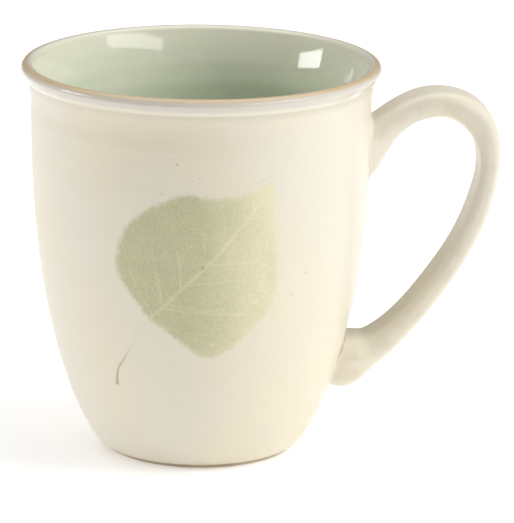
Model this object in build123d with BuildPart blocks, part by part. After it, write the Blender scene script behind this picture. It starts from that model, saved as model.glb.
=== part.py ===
from build123d import *
from math import cos, radians, sin
import os

# Stoneware mug, turned body with a pulled strap handle, in millimetres.
# The origin is on the mug's axis where its foot meets the table. +Z is up and the handle points to +X.

# Body, measured on the glazed outside
mug_height = 100.0  # table to the top of the lip
neck_radius = 43.0  # the wall where it is upright, under the lip's cove
lip_flare = 2.5  # how far the rolled lip stands out past the neck at its widest
lip_thickness = 3.4
neck_drop = 12.0  # from the top of the lip down to the neck
cove_drop = 4.8  # from the top of the lip down to where the cove turns out
cove_flare = 0.8  # how far the cove has turned out there
skirt_radius = 25.3  # the glazed wall at its lowest edge, just above the bare foot
belly_fullness = 0.80  # under 1 swells the wall out quickly above the foot
belly_taper = 2.17  # over 2 brings it in gently to the neck

# Clay and glaze
clay_wall = 4.0
clay_floor = 5.0
inside_corner_radius = 12.0  # the thrower's curve between the floor and the wall
glaze = 0.4
lip_band_drop = 4.2  # from the top of the lip down to where the glossy lip band ends

# Foot ring, left bare to stand on
foot_tuck = 1.1  # how far the ring's outer edge on the table lies inside the glazed skirt
foot_width = 3.4
foot_recess = 1.7  # how deep the underside is hollowed inside the ring
glaze_line = 1.2  # height above the table where the outside glaze stops
base_glaze_margin = 1.0  # bare clay left round the glaze under the base

# Handle, a flat strap of clay under its glaze
strap_width = 12.4
strap_thickness = 4.2  # at its thinnest, below the bend where the fingers go
handle_reach = 33.0  # from the neck to the outside of the glazed strap
upper_root_drop = 22.0  # from the top of the lip down to the middle of the upper root
lower_root_height = 22.2  # from the table up to the middle of the lower root
upper_root_swell = 5.0  # how much thicker the strap grows where it meets the body, above
lower_root_swell = 4.4  # and below
root_spread = 1.4  # how much wider it grows there
root_sink = 4.0  # how far the strap's sections run on inside the wall before they are cut to it
root_standoff = 0.7  # how far outside the wall the lower root reaches its full swelling
upper_root_heading = 8.0  # the way the strap leaves the wall, in degrees above level
lower_root_heading = 180.0  # the way it comes back to the wall
strap_roundness = 0.45  # corner radius as a share of the strap's thickness

# Slip that sticks the handle on
luting = 0.8  # thickness of the layer between the strap's end and the wall
slip_fillet = 1.6  # thickness of the smoothed collar where it meets the wall

# Leaf print on the front
print_thickness = 0.12
leaf_turn = -5.0  # degrees round from the front towards the handle's far side
leaf_side = -13.4  # base of the blade, sideways from the middle of the print
leaf_height = 42.8  # base of the blade, above the table
leaf_lean = 47.6  # slope of the midrib, in degrees
leaf_length = 48.9
leaf_half_width = 21.0
stem_length = 18.0
stem_gap = 5.5  # bare wall between the blade and its stem
stem_width = 1.0
stem_bow = 1.6

neck_height = mug_height - neck_drop
lip_radius = neck_radius + lip_flare
lip_centre_radius = lip_radius - lip_thickness / 2
foot_radius = skirt_radius - foot_tuck
lip_centre_height = mug_height - lip_thickness / 2
floor_height = foot_recess + clay_floor

# Half sections are drawn on the side away from the handle, so that no seam runs under a root or the print.
profile_plane = Plane(origin=(0, 0, 0), x_dir=(-1, 0, 0), z_dir=(0, 1, 0))


def wall_radius(height):
    """Radius of the glazed outside of the wall at a height between the glaze line and the neck."""
    rise = (height - glaze_line) / (neck_height - glaze_line)
    return neck_radius - (neck_radius - skirt_radius) * (1 - rise**belly_fullness) ** belly_taper


def wall_points(lowest, inset):
    """Points up the wall from a height to the lip's side, a level distance inside the glazed surface."""
    shares = (0, 0.03, 0.08, 0.16, 0.28, 0.44, 0.64, 0.84, 1)
    levels = [lowest + share * (neck_height - lowest) for share in shares]
    return [(wall_radius(level) - inset, level) for level in levels]


def outer_form(inset, foot=False):
    """Solid body of revolution inside the outside wall and over the lip, drawn in by inset."""
    cove = (neck_radius + cove_flare - inset, mug_height - cove_drop)
    lip = lip_thickness / 2 - min(inset, glaze)
    outer_seam = (lip_centre_radius + lip, lip_centre_height)
    inner_seam = (lip_centre_radius - lip, lip_centre_height)
    lip_top = (lip_centre_radius, lip_centre_height + lip)
    skirt = (skirt_radius - inset, glaze_line)
    with BuildPart() as form:
        with BuildSketch(profile_plane):
            with BuildLine():
                Spline(*wall_points(glaze_line, inset), cove, outer_seam)
                ThreePointArc(outer_seam, lip_top, inner_seam)
                if foot:
                    Polyline(inner_seam, (0, lip_centre_height), (0, 0), (foot_radius, 0), skirt)
                else:
                    Polyline(inner_seam, (0, lip_centre_height), (0, glaze_line), skirt)
            make_face()
        revolve(axis=Axis.Z)
    return form.part


def inner_form(skin):
    """Solid that fills the hollow of the mug up to the lip's side, with a skin of glaze inside the clay."""
    inset = glaze + clay_wall + skin
    lowest = floor_height + skin
    seam = (lip_centre_radius - lip_thickness / 2 + glaze - skin, lip_centre_height)
    wall = wall_points(lowest, inset)
    with BuildPart() as form:
        with BuildSketch(profile_plane):
            with BuildLine():
                Spline(*wall, seam)
                Polyline(seam, (0, lip_centre_height), (0, lowest), wall[0])
            make_face()
        revolve(axis=Axis.Z)
        fillet(form.edges().group_by(Axis.Z)[0], inside_corner_radius - skin)
    return form.part


glazed_form = outer_form(0)
clay_form = outer_form(glaze, foot=True)
clay_hollow = inner_form(0)
drink_hollow = inner_form(glaze)

# The strap's sections from the upper root to the lower one. Out and up are shares of the strap's reach
# and of the span between its roots, and swell is how much of the roots' swelling the section has.
upper_root_height = mug_height - upper_root_drop
root_span = upper_root_height - lower_root_height
strap_reach = handle_reach - strap_thickness / 2 - glaze
strap_run = [
    # out, up, heading, swell, slip
    (0.091, 1.063, 24, 0.36, 0.8),
    (0.272, 1.151, 29, 0.14, 0.25),
    (0.437, 1.189, 10, 0.3, 0),
    (0.634, 1.196, -14, 0.32, 0),
    (0.866, 1.133, -45, 0.46, 0),
    (0.984, 1.012, -76, 0.23, 0),
    (0.998, 0.901, -91, 0.03, 0),
    (0.936, 0.738, -106, 0, 0),
    (0.803, 0.558, -117, 0, 0),
    (0.572, 0.357, -124, 0.06, 0),
    (0.307, 0.177, -132, 0.17, 0),
    (0.140, 0.090, -140, 0.26, 0.25),
    (-0.009, 0.032, -163, 0.61, 0.8),
]


def strap_sections():
    """Plane, swell and slip of each section of the strap, in order along it."""
    upper_wall = wall_radius(upper_root_height)
    lower_wall = wall_radius(lower_root_height)
    yield upper_wall - root_sink, upper_root_height - root_sink / 4, upper_root_heading, 1, slip_fillet
    yield upper_wall, upper_root_height, upper_root_heading, 1, slip_fillet
    for out, up, heading, swell, slip in strap_run:
        yield neck_radius + out * strap_reach, lower_root_height + up * root_span, heading, swell, slip
    yield lower_wall + root_standoff, lower_root_height, lower_root_heading, 1, slip_fillet
    yield lower_wall - root_sink, lower_root_height, lower_root_heading, 1, slip_fillet


def section_plane(section):
    """Plane of one of the strap's sections, square to the way the strap is heading."""
    out, up, heading = section[:3]
    angle = radians(heading)
    return Plane(origin=(out, 0, up), x_dir=(0, 1, 0), z_dir=(cos(angle), 0, sin(angle)))


def root_swell(section):
    """How much thicker the strap grows at the root that a section is nearer to."""
    middle = (upper_root_height + lower_root_height) / 2
    return upper_root_swell if section[1] > middle else lower_root_swell


def strap_form(with_slip, skin):
    """The whole strap, run on into the wall at both ends, with or without its collars, and a skin thicker."""
    with BuildPart() as form:
        for section in strap_sections():
            swell, slip = section[3:]
            growth = 2 * (skin + (slip if with_slip else 0))
            width = strap_width + swell * root_spread + growth
            thickness = strap_thickness + swell * root_swell(section) + growth
            with BuildSketch(section_plane(section)):
                RectangleRounded(width, thickness, strap_roundness * thickness)
        loft()
    return form.part


def slip_joint(collar_end, keep, upper):
    """Slip between the strap's end and the wall, with the collar smoothed round it."""
    with BuildPart() as joint:
        add(collared_form)
        split(bisect_by=section_plane(collar_end), keep=keep)
    root = joint.solids().sort_by(Axis.Z)[-1 if upper else 0]
    with BuildPart() as joint:
        add(root)
        add(clay_form, mode=Mode.SUBTRACT)
        add(handle_strap.part, mode=Mode.SUBTRACT)
    return joint


core_form = strap_form(False, 0)
collared_form = strap_form(True, 0)
glazed_strap_form = strap_form(True, glaze)
seat_form = outer_form(glaze - luting)

with BuildPart() as clay_body:
    add(clay_form)
    add(clay_hollow, mode=Mode.SUBTRACT)
    with BuildSketch(Plane.XY):
        Circle(foot_radius - foot_width)
    extrude(amount=foot_recess, mode=Mode.SUBTRACT)

with BuildPart() as base_glaze:
    with BuildSketch(Plane.XY.offset(foot_recess - glaze)):
        Circle(foot_radius - foot_width - base_glaze_margin)
    extrude(amount=glaze)

with BuildPart() as inside_glaze:
    add(clay_hollow)
    add(drink_hollow, mode=Mode.SUBTRACT)


def outside_skin(low, high):
    """The part of the glaze over the outside and the lip that lies between two heights."""
    with BuildPart() as skin:
        add(glazed_form)
        add(clay_form, mode=Mode.SUBTRACT)
        if low > glaze_line:
            split(bisect_by=Plane.XY.offset(low), keep=Keep.TOP)
        if high < mug_height:
            split(bisect_by=Plane.XY.offset(high), keep=Keep.BOTTOM)
    return skin


lip_band_height = mug_height - lip_band_drop
outside_glaze = outside_skin(glaze_line, lip_band_height)
with outside_glaze:
    add(glazed_strap_form, mode=Mode.SUBTRACT)
lip_glaze_band = outside_skin(lip_band_height, lip_centre_height)
rim_glaze = outside_skin(lip_centre_height, mug_height)

with BuildPart() as handle_strap:
    add(core_form)
    add(seat_form, mode=Mode.SUBTRACT)

sections = list(strap_sections())
upper_slip_joint = slip_joint(sections[3], Keep.BOTTOM, upper=True)
lower_slip_joint = slip_joint(sections[-4], Keep.TOP, upper=False)

with BuildPart() as handle_glaze:
    add(glazed_strap_form)
    for inner in (clay_form, handle_strap.part, upper_slip_joint.part, lower_slip_joint.part):
        add(inner, mode=Mode.SUBTRACT)

# The print lies on the glazed wall. Its sketch plane faces the front of the mug, with X along the midrib.
turn = radians(leaf_turn)
facing = Plane(origin=(0, 0, 0), x_dir=(cos(turn), sin(turn), 0), z_dir=(sin(turn), -cos(turn), 0))
leaf_plane = Plane(facing.location * Location((leaf_side, leaf_height, 0), (0, 0, leaf_lean)))

# Shares of the blade's length along the midrib, and of its half width across it
left_edge = [(0.04, 0.5), (0.15, 0.84), (0.31, 0.95), (0.52, 0.86), (0.69, 0.57), (0.84, 0.21)]
right_edge = [(0.89, -0.23), (0.72, -0.68), (0.55, -1.03), (0.32, -1.07), (0.10, -0.93), (0.03, -0.4)]


def blade_points(shares):
    return [(along * leaf_length, across * leaf_half_width) for along, across in shares]


print_form = outer_form(-print_thickness)

with BuildPart() as leaf_blade_print:
    with BuildSketch(leaf_plane):
        with BuildLine():
            Spline((0, 0), *blade_points(left_edge), (leaf_length, 0))
            Spline((leaf_length, 0), *blade_points(right_edge), (0, 0))
        make_face()
    extrude(amount=lip_radius + print_thickness)
    add(print_form, mode=Mode.INTERSECT)
    add(glazed_form, mode=Mode.SUBTRACT)

with BuildPart() as leaf_stem_print:
    with BuildSketch(leaf_plane):
        with BuildLine():
            stem_top = (-stem_gap, 0)
            stem_foot = (-stem_gap - stem_length, -2 * stem_bow)
            stem_middle = (-stem_gap - stem_length / 2, 0)
            ThreePointArc(stem_top, stem_middle, stem_foot)
        trace(line_width=stem_width)
    extrude(amount=lip_radius + print_thickness)
    add(print_form, mode=Mode.INTERSECT)
    add(glazed_form, mode=Mode.SUBTRACT)

pieces = {
    "clay_body": clay_body,
    "handle_strap": handle_strap,
    "upper_slip_joint": upper_slip_joint,
    "lower_slip_joint": lower_slip_joint,
    "inside_glaze": inside_glaze,
    "outside_glaze": outside_glaze,
    "lip_glaze_band": lip_glaze_band,
    "rim_glaze": rim_glaze,
    "base_glaze": base_glaze,
    "handle_glaze": handle_glaze,
    "leaf_blade_print": leaf_blade_print,
    "leaf_stem_print": leaf_stem_print,
}
os.makedirs("parts", exist_ok=True)
for name, piece in pieces.items():
    piece.part.label = name
    export_step(piece.part, f"parts/{name}.step")
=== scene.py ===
import math

import bpy
import numpy as np
from mathutils import Matrix, Vector
from mathutils.bvhtree import BVHTree


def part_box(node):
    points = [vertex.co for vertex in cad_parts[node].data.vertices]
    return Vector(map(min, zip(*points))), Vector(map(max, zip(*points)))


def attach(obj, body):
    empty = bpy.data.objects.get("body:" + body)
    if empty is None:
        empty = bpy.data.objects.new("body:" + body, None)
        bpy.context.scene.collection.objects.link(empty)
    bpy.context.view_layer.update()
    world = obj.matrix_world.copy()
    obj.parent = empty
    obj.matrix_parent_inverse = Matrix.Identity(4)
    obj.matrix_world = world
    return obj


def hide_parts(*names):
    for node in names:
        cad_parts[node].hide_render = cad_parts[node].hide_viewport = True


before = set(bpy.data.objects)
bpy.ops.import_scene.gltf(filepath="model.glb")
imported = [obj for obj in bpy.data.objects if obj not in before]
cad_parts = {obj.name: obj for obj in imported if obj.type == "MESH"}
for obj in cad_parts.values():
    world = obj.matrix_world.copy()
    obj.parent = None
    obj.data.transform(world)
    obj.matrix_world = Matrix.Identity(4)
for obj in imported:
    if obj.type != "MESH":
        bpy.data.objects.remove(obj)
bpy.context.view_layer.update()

bl_info = {
    "name": "Leaf print mug",
    "version": (1, 0, 0),
    "blender": (4, 5, 0),
    "location": "3D View > Sidebar > Leaf Mug",
    "description": "Glazes, clay and leaf print of a thrown stoneware mug, built round its CAD frame",
    "category": "Object",
}

MM = 0.001
BODY = "root"
PANEL_TAB = "Leaf Mug"
SMALL = 1e-9


def box_mm(node):
    """Lowest and highest corner of a CAD node, in millimetres."""
    low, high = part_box(node)
    return np.array(low) / MM, np.array(high) / MM


# Heights and radii that the frame settles, in millimetres
LIP_TOP = box_mm("rim_glaze")[1][2]
LIP_SIDE = box_mm("rim_glaze")[0][2]
LIP_RADIUS = box_mm("rim_glaze")[1][0]
BAND_LINE = box_mm("lip_glaze_band")[0][2]
GLAZE_LINE = box_mm("outside_glaze")[0][2]
CLAY_FLOOR = box_mm("inside_glaze")[0][2]
RECESS = box_mm("base_glaze")[1][2]
BASE_RADIUS = box_mm("base_glaze")[1][0]
HANDLE_OUT = box_mm("handle_glaze")[1][0]


# ---------------------------------------------------------------- settings


def length(name, description, default):
    """A size in millimetres."""
    return bpy.props.FloatProperty(name=name, description=description, default=default, precision=3)


def number(name, description, default):
    return bpy.props.FloatProperty(name=name, description=description, default=default)


def whole(name, description, default):
    return bpy.props.IntProperty(name=name, description=description, default=default)


def colour(name, description, default):
    """A linear colour."""
    return bpy.props.FloatVectorProperty(
        name=name, description=description, default=default, subtype="COLOR", size=3, min=0, max=1)


class MugBodySizes(bpy.types.PropertyGroup):
    neck_radius: length("Neck radius", "Glazed radius where the wall is upright, under the lip, in mm", 43.0)
    neck_drop: length("Neck drop", "From the top of the lip down to the neck, in mm", 12.0)
    skirt_radius: length("Skirt radius", "Glazed radius at the bare foot, in mm", 25.3)
    fullness: number("Fullness", "Under 1 swells the wall out quickly above the foot", 0.80)
    taper: number("Taper", "Over 2 brings the wall in gently to the neck", 2.17)
    glaze: length("Glaze", "Thickness of each glaze, in mm", 0.4)
    clay: length("Clay wall", "Thickness of the clay wall, in mm", 4.0)
    floor_curve: length("Floor curve", "Radius between the floor and the wall inside, in mm", 12.0)
    foot_width: length("Foot width", "Width of the bare ring under the mug, in mm", 3.4)
    lip_lean: number("Lip lean", "How far the hollow leans out where it runs into the lip, in degrees", 24.0)
    foot_tuck: length("Foot tuck", "How far the ring lies inside the glazed skirt, in mm", 1.1)
    band_bulge: length("Band bulge", "How far the overlapped glaze of the lip stands proud, in mm", 0.03)
    mark_depth: length("Throwing marks", "Depth of the rings left by the fingers, in mm", 0.03)
    mark_spacing: length("Mark spacing", "Distance between the rings, in mm", 5.2)
    segments: whole("Segments", "Facets round the mug", 288)


class MugHandleSizes(bpy.types.PropertyGroup):
    width: length("Strap width", "Width of the glazed strap, in mm", 13.2)
    thickness: length("Strap thickness", "Thickness of the glazed strap, in mm", 5.0)
    upper_drop: length("Upper root", "From the lip's top down to the middle of the upper root, in mm", 22.0)
    lower_height: length("Lower root", "From the table up to the middle of the lower root, in mm", 22.2)
    upper_swell: length("Upper swelling", "How much thicker the strap is at its upper root, in mm", 8.2)
    lower_swell: length("Lower swelling", "How much thicker the strap is at its lower root, in mm", 7.6)
    spread: length("Spread", "How much wider the strap is at its roots, in mm", 4.6)
    squareness: number("Squareness", "2 is an oval section and more is squarer", 2.7)
    fillet: length("Fillet", "Curve where the glaze runs from the strap onto the wall, in mm", 1.2)
    skin: length("Skin", "Thickness of the glaze on the strap, in mm", 0.35)
    round_points: whole("Round points", "Facets round the strap", 96)
    along_points: whole("Along points", "Rings along the strap", 220)


class MugLeafSizes(bpy.types.PropertyGroup):
    turn: bpy.props.FloatProperty(
        name="Turn", description="Round the mug from its front", default=math.radians(-5), subtype="ANGLE")
    lean: bpy.props.FloatProperty(
        name="Lean", description="Slope of the midrib", default=math.radians(47.6), subtype="ANGLE")
    side: length("Side", "Base of the blade, sideways from the middle of the print, in mm", -13.4)
    height: length("Height", "Base of the blade, above the table, in mm", 42.8)
    length: length("Length", "Length of the blade along its midrib, in mm", 48.9)
    half_width: length("Half width", "Half the width of the blade, in mm", 21.0)
    margin: length("Margin", "Clear glaze carried round the print, in mm", 1.9)
    proud: length("Proud", "How far the print layer stands over the wall, in mm", 0.012)


class MugColours(bpy.types.PropertyGroup):
    cream: colour("Cream", "Cream glaze", (0.80, 0.75, 0.62))
    cream_warm: colour("Warm cream", "Cream glaze where it is thick", (0.79, 0.71, 0.53))
    cream_cool: colour("Cool cream", "Cream glaze where it is thin", (0.76, 0.71, 0.615))
    speck: colour("Speck", "Iron specks", (0.17, 0.11, 0.065))
    celadon: colour("Celadon", "Green glaze where it is deep", (0.50, 0.60, 0.455))
    celadon_pale: colour("Pale celadon", "Green glaze where it is thin", (0.76, 0.76, 0.61))
    band: colour("Lip band", "Overlapped glaze under the lip", (0.68, 0.635, 0.56))
    ochre: colour("Ochre", "Glaze run thin over the lip", (0.60, 0.43, 0.215))
    clay: colour("Clay", "Bare fired clay", (0.46, 0.36, 0.245))
    leaf: colour("Leaf", "Darkest part of the leaf print", (0.49, 0.47, 0.275))
    leaf_pale: colour("Pale leaf", "Palest part of the leaf print", (0.775, 0.735, 0.49))
    stem: colour("Stem", "Print of the stem", (0.36, 0.325, 0.25))


# ---------------------------------------------------------------- curves and meshes


def through(knots, values, at):
    """Natural cubic curve through values at knots, read at the given places."""
    knots, values, at = (np.asarray(a, float) for a in (knots, values, at))
    gaps = np.diff(knots)
    count = len(knots)
    matrix = np.eye(count)
    right = np.zeros(count)
    for i in range(1, count - 1):
        matrix[i, i - 1:i + 2] = gaps[i - 1], 2 * (gaps[i - 1] + gaps[i]), gaps[i]
        right[i] = 6 * ((values[i + 1] - values[i]) / gaps[i] - (values[i] - values[i - 1]) / gaps[i - 1])
    bend = np.linalg.solve(matrix, right)
    i = np.clip(np.searchsorted(knots, at) - 1, 0, count - 2)
    a, b = knots[i + 1] - at, at - knots[i]
    linear = (values[i] / gaps[i] - bend[i] * gaps[i] / 6) * a
    linear += (values[i + 1] / gaps[i] - bend[i + 1] * gaps[i] / 6) * b
    return (bend[i] * a**3 + bend[i + 1] * b**3) / (6 * gaps[i]) + linear


def ease(value):
    """Smooth step from 0 to 1."""
    value = np.clip(value, 0, 1)
    return value * value * (3 - 2 * value)


def arc(centre, radius, start, end, count):
    """Points of an arc in a half section, angles in degrees."""
    angles = np.radians(np.linspace(start, end, count))
    return [(centre[0] + radius * math.cos(a), centre[1] + radius * math.sin(a)) for a in angles]


# Where the cove under the lip turns out: drop from the top of the lip, and how far past the neck
COVE = ((9.0, 0.05), (7.4, 0.27), (6.0, 0.55), (4.7, 0.98), (3.6, 1.50), (2.7, 2.06))


def wall_radius(height):
    """Glazed outside radius of the mug at each height, in mm."""
    sizes = bpy.context.scene.mug_body
    height = np.asarray(height, float)
    neck = LIP_TOP - sizes.neck_drop
    rise = np.clip((height - GLAZE_LINE) / (neck - GLAZE_LINE), 0, 1)
    narrowing = sizes.neck_radius - sizes.skirt_radius
    barrel = sizes.neck_radius - narrowing * (1 - rise**sizes.fullness)**sizes.taper
    drops = [sizes.neck_drop + 4, sizes.neck_drop] + [drop for drop, _ in COVE] + [LIP_TOP - LIP_SIDE]
    flares = [0, 0] + [flare for _, flare in COVE] + [LIP_RADIUS - sizes.neck_radius]
    heights = [LIP_TOP - drop for drop in drops]
    cove = through(heights, flares, np.clip(height, heights[0], heights[-1]))
    return barrel + np.where(height > neck, cove, 0)


def wheel_mark(angle, height):
    """How far the thrower's fingers and a slightly oval rim move the wall, in mm."""
    sizes = bpy.context.scene.mug_body
    turn = 2 * math.pi * height / sizes.mark_spacing
    rings = np.sin(turn + angle) + 0.6 * np.sin(0.43 * turn + 1.1 + 0.7 * np.sin(angle))
    inside = ease((height - GLAZE_LINE) / 6) * ease((LIP_TOP - 3 - height) / 8)
    return sizes.mark_depth * (rings * inside + 1.2 * np.cos(2 * angle + 0.6) * ease(height / 40))


def on_wall(side, height, offset=0.0):
    """Points on the glazed wall, side being the way round it from +X at the neck's radius, in mm."""
    angle = side / bpy.context.scene.mug_body.neck_radius
    radius = wall_radius(height) + wheel_mark(angle, height) + offset
    return np.stack([radius * np.cos(angle), radius * np.sin(angle), height + 0 * angle], -1)


def add_object(name, mesh):
    piece = bpy.data.objects.new(name, mesh)
    bpy.context.scene.collection.objects.link(piece)
    return piece


def mesh_of(name, points_mm, faces, edges=()):
    mesh = bpy.data.meshes.new(name)
    mesh.from_pydata((np.asarray(points_mm, float) * MM).tolist(), list(edges), faces)
    mesh.update()
    return mesh


def float_attribute(mesh, name, values):
    mesh.attributes.new(name, "FLOAT", "POINT").data.foreach_set("value", np.asarray(values, float).ravel())


def grid_faces(rows, columns, closed):
    """Quads between the rows of a grid of points, its columns joined into rings where closed."""
    faces = []
    for i in range(rows - 1):
        for j in range(columns if closed else columns - 1):
            k = (j + 1) % columns
            faces.append((i * columns + j, i * columns + k, (i + 1) * columns + k, (i + 1) * columns + j))
    return faces


def volume(mesh):
    """Signed volume, which is negative on a shape that is inside out."""
    mesh.calc_loop_triangles()
    total = 0.0
    for triangle in mesh.loop_triangles:
        a, b, c = (mesh.vertices[i].co for i in triangle.vertices)
        total += a.dot(b.cross(c))
    return total / 6


def finish_piece(piece, material, slot, *nodes):
    """Turns the faces outwards, gives the finish, and hands the piece to the frame."""
    if volume(piece.data) < 0:
        piece.data.flip_normals()
    for polygon in piece.data.polygons:
        polygon.use_smooth = True
    if material.name not in [m.name for m in piece.data.materials if m]:
        piece.data.materials.clear()
        piece.data.materials.append(material)
    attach(piece, BODY)
    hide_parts(*nodes)
    return piece


# ---------------------------------------------------------------- node trees


class Tree:
    """A geometry tree under construction."""

    def __init__(self, name, **inputs):
        self.group = bpy.data.node_groups.new(name, "GeometryNodeTree")
        face = self.group.interface
        face.new_socket("Geometry", in_out="INPUT", socket_type="NodeSocketGeometry")
        for label, kind in inputs.items():
            face.new_socket(label.replace("_", " "), in_out="INPUT", socket_type="NodeSocket" + kind)
        face.new_socket("Geometry", in_out="OUTPUT", socket_type="NodeSocketGeometry")
        self.start = self.group.nodes.new("NodeGroupInput")
        self.end = self.group.nodes.new("NodeGroupOutput")

    def add(self, kind, links=(), **settings):
        """A node with its inputs linked or set by name."""
        node = self.group.nodes.new(kind)
        for label, value in settings.items():
            setattr(node, label, value)
        for label, value in dict(links).items():
            if isinstance(value, bpy.types.NodeSocket):
                self.group.links.new(value, node.inputs[label])
            else:
                node.inputs[label].default_value = value
        return node

    def finish(self, geometry, material):
        whole_mesh = self.add("GeometryNodeRealizeInstances", {"Geometry": geometry})
        dressed = self.add("GeometryNodeSetMaterial", {
            "Geometry": whole_mesh.outputs[0], "Material": material})
        self.group.links.new(dressed.outputs[0], self.end.inputs[0])
        return self.group


def turned_tree():
    """Turns a half section round the axis. The section lies in XY as (radius - hub, -height)."""
    tree = Tree("Turned form", Segments="Int", Hub="Float", Merge="Float", Crease="Float",
                Material="Material")
    given = tree.start.outputs
    section = tree.add("GeometryNodeMeshToCurve", {"Mesh": given["Geometry"]})
    wheel = tree.add("GeometryNodeCurvePrimitiveCircle", {
        "Resolution": given["Segments"], "Radius": given["Hub"]})
    form = tree.add("GeometryNodeCurveToMesh", {
        "Curve": wheel.outputs[0], "Profile Curve": section.outputs[0]})
    closed = tree.add("GeometryNodeMergeByDistance", {
        "Geometry": form.outputs[0], "Distance": given["Merge"]})
    fold = tree.add("GeometryNodeInputMeshEdgeAngle")
    sharp = tree.add("FunctionNodeCompare", {"A": fold.outputs["Unsigned Angle"], "B": given["Crease"]})
    smooth = tree.add("GeometryNodeSetShadeSmooth", {
        "Geometry": closed.outputs[0], "Selection": sharp.outputs[0], "Shade Smooth": False}, domain="EDGE")
    return tree.finish(smooth.outputs[0], given["Material"])


def speck_tree():
    """Lays a flat iron speck on each point, facing the way the point's own attribute says."""
    tree = Tree("Iron specks", Roundness="Int", Flatness="Float", Material="Material")
    given = tree.start.outputs
    facing = tree.add("GeometryNodeInputNamedAttribute", {"Name": "facing"}, data_type="FLOAT_VECTOR")
    size = tree.add("GeometryNodeInputNamedAttribute", {"Name": "size"}, data_type="FLOAT")
    turn = tree.add("FunctionNodeAlignRotationToVector", {"Vector": facing.outputs[0]}, axis="Z")
    low = tree.add("ShaderNodeMath", {0: size.outputs[0], 1: given["Flatness"]}, operation="MULTIPLY")
    scale = tree.add("ShaderNodeCombineXYZ", {
        "X": size.outputs[0], "Y": size.outputs[0], "Z": low.outputs[0]})
    blob = tree.add("GeometryNodeMeshIcoSphere", {"Radius": 1.0, "Subdivisions": given["Roundness"]})
    specks = tree.add("GeometryNodeInstanceOnPoints", {
        "Points": given["Geometry"], "Instance": blob.outputs[0], "Rotation": turn.outputs[0],
        "Scale": scale.outputs[0]})
    return tree.finish(specks.outputs[0], given["Material"])


def grow(piece, tree, values):
    """Runs a tree on a piece with its named inputs set, and leaves the result as the piece's plain mesh."""
    modifier = piece.modifiers.new("Making", "NODES")
    modifier.node_group = tree
    for item in tree.interface.items_tree:
        if item.in_out == "INPUT" and item.name in values:
            modifier[item.identifier] = values[item.name]
    seen = bpy.context.evaluated_depsgraph_get()
    result = bpy.data.meshes.new_from_object(piece.evaluated_get(seen))
    result.name = piece.name
    piece.modifiers.remove(modifier)
    piece.data = result


# Radius in mm of the ring that a half section is swept round, which the section then stands out from
HUB = 1.0
# Points of a turned piece that are nearer than this, in mm, are joined
JOIN = 0.002
# Edges of a turned piece that fold more than this, in degrees, stay sharp
CREASE = 40


def turn_piece(name, section, material, closed=True):
    """A piece turned from its half section, with the marks of the wheel."""
    section = np.asarray(section, float)
    count = len(section)
    flat = np.stack([section[:, 0] - HUB, -section[:, 1], 0 * section[:, 0]], -1)
    edges = [(i, (i + 1) % count) for i in range(count if closed else count - 1)]
    piece = add_object(name, mesh_of(name, flat, [], edges))
    grow(piece, bpy.data.node_groups["Turned form"], {
        "Segments": bpy.context.scene.mug_body.segments, "Hub": HUB * MM, "Merge": JOIN * MM,
        "Crease": math.radians(CREASE), "Material": material})
    points = np.empty(3 * len(piece.data.vertices))
    piece.data.vertices.foreach_get("co", points)
    points = points.reshape(-1, 3) / MM
    radius = np.hypot(points[:, 0], points[:, 1])
    angle = np.arctan2(points[:, 1], points[:, 0])
    share = 1 + wheel_mark(angle, points[:, 2]) * ease(radius / 20) / np.maximum(radius, SMALL)
    points[:, :2] *= share[:, None]
    piece.data.vertices.foreach_set("co", (points * MM).ravel())
    piece.data.update()
    return piece


# ---------------------------------------------------------------- finishes


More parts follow.
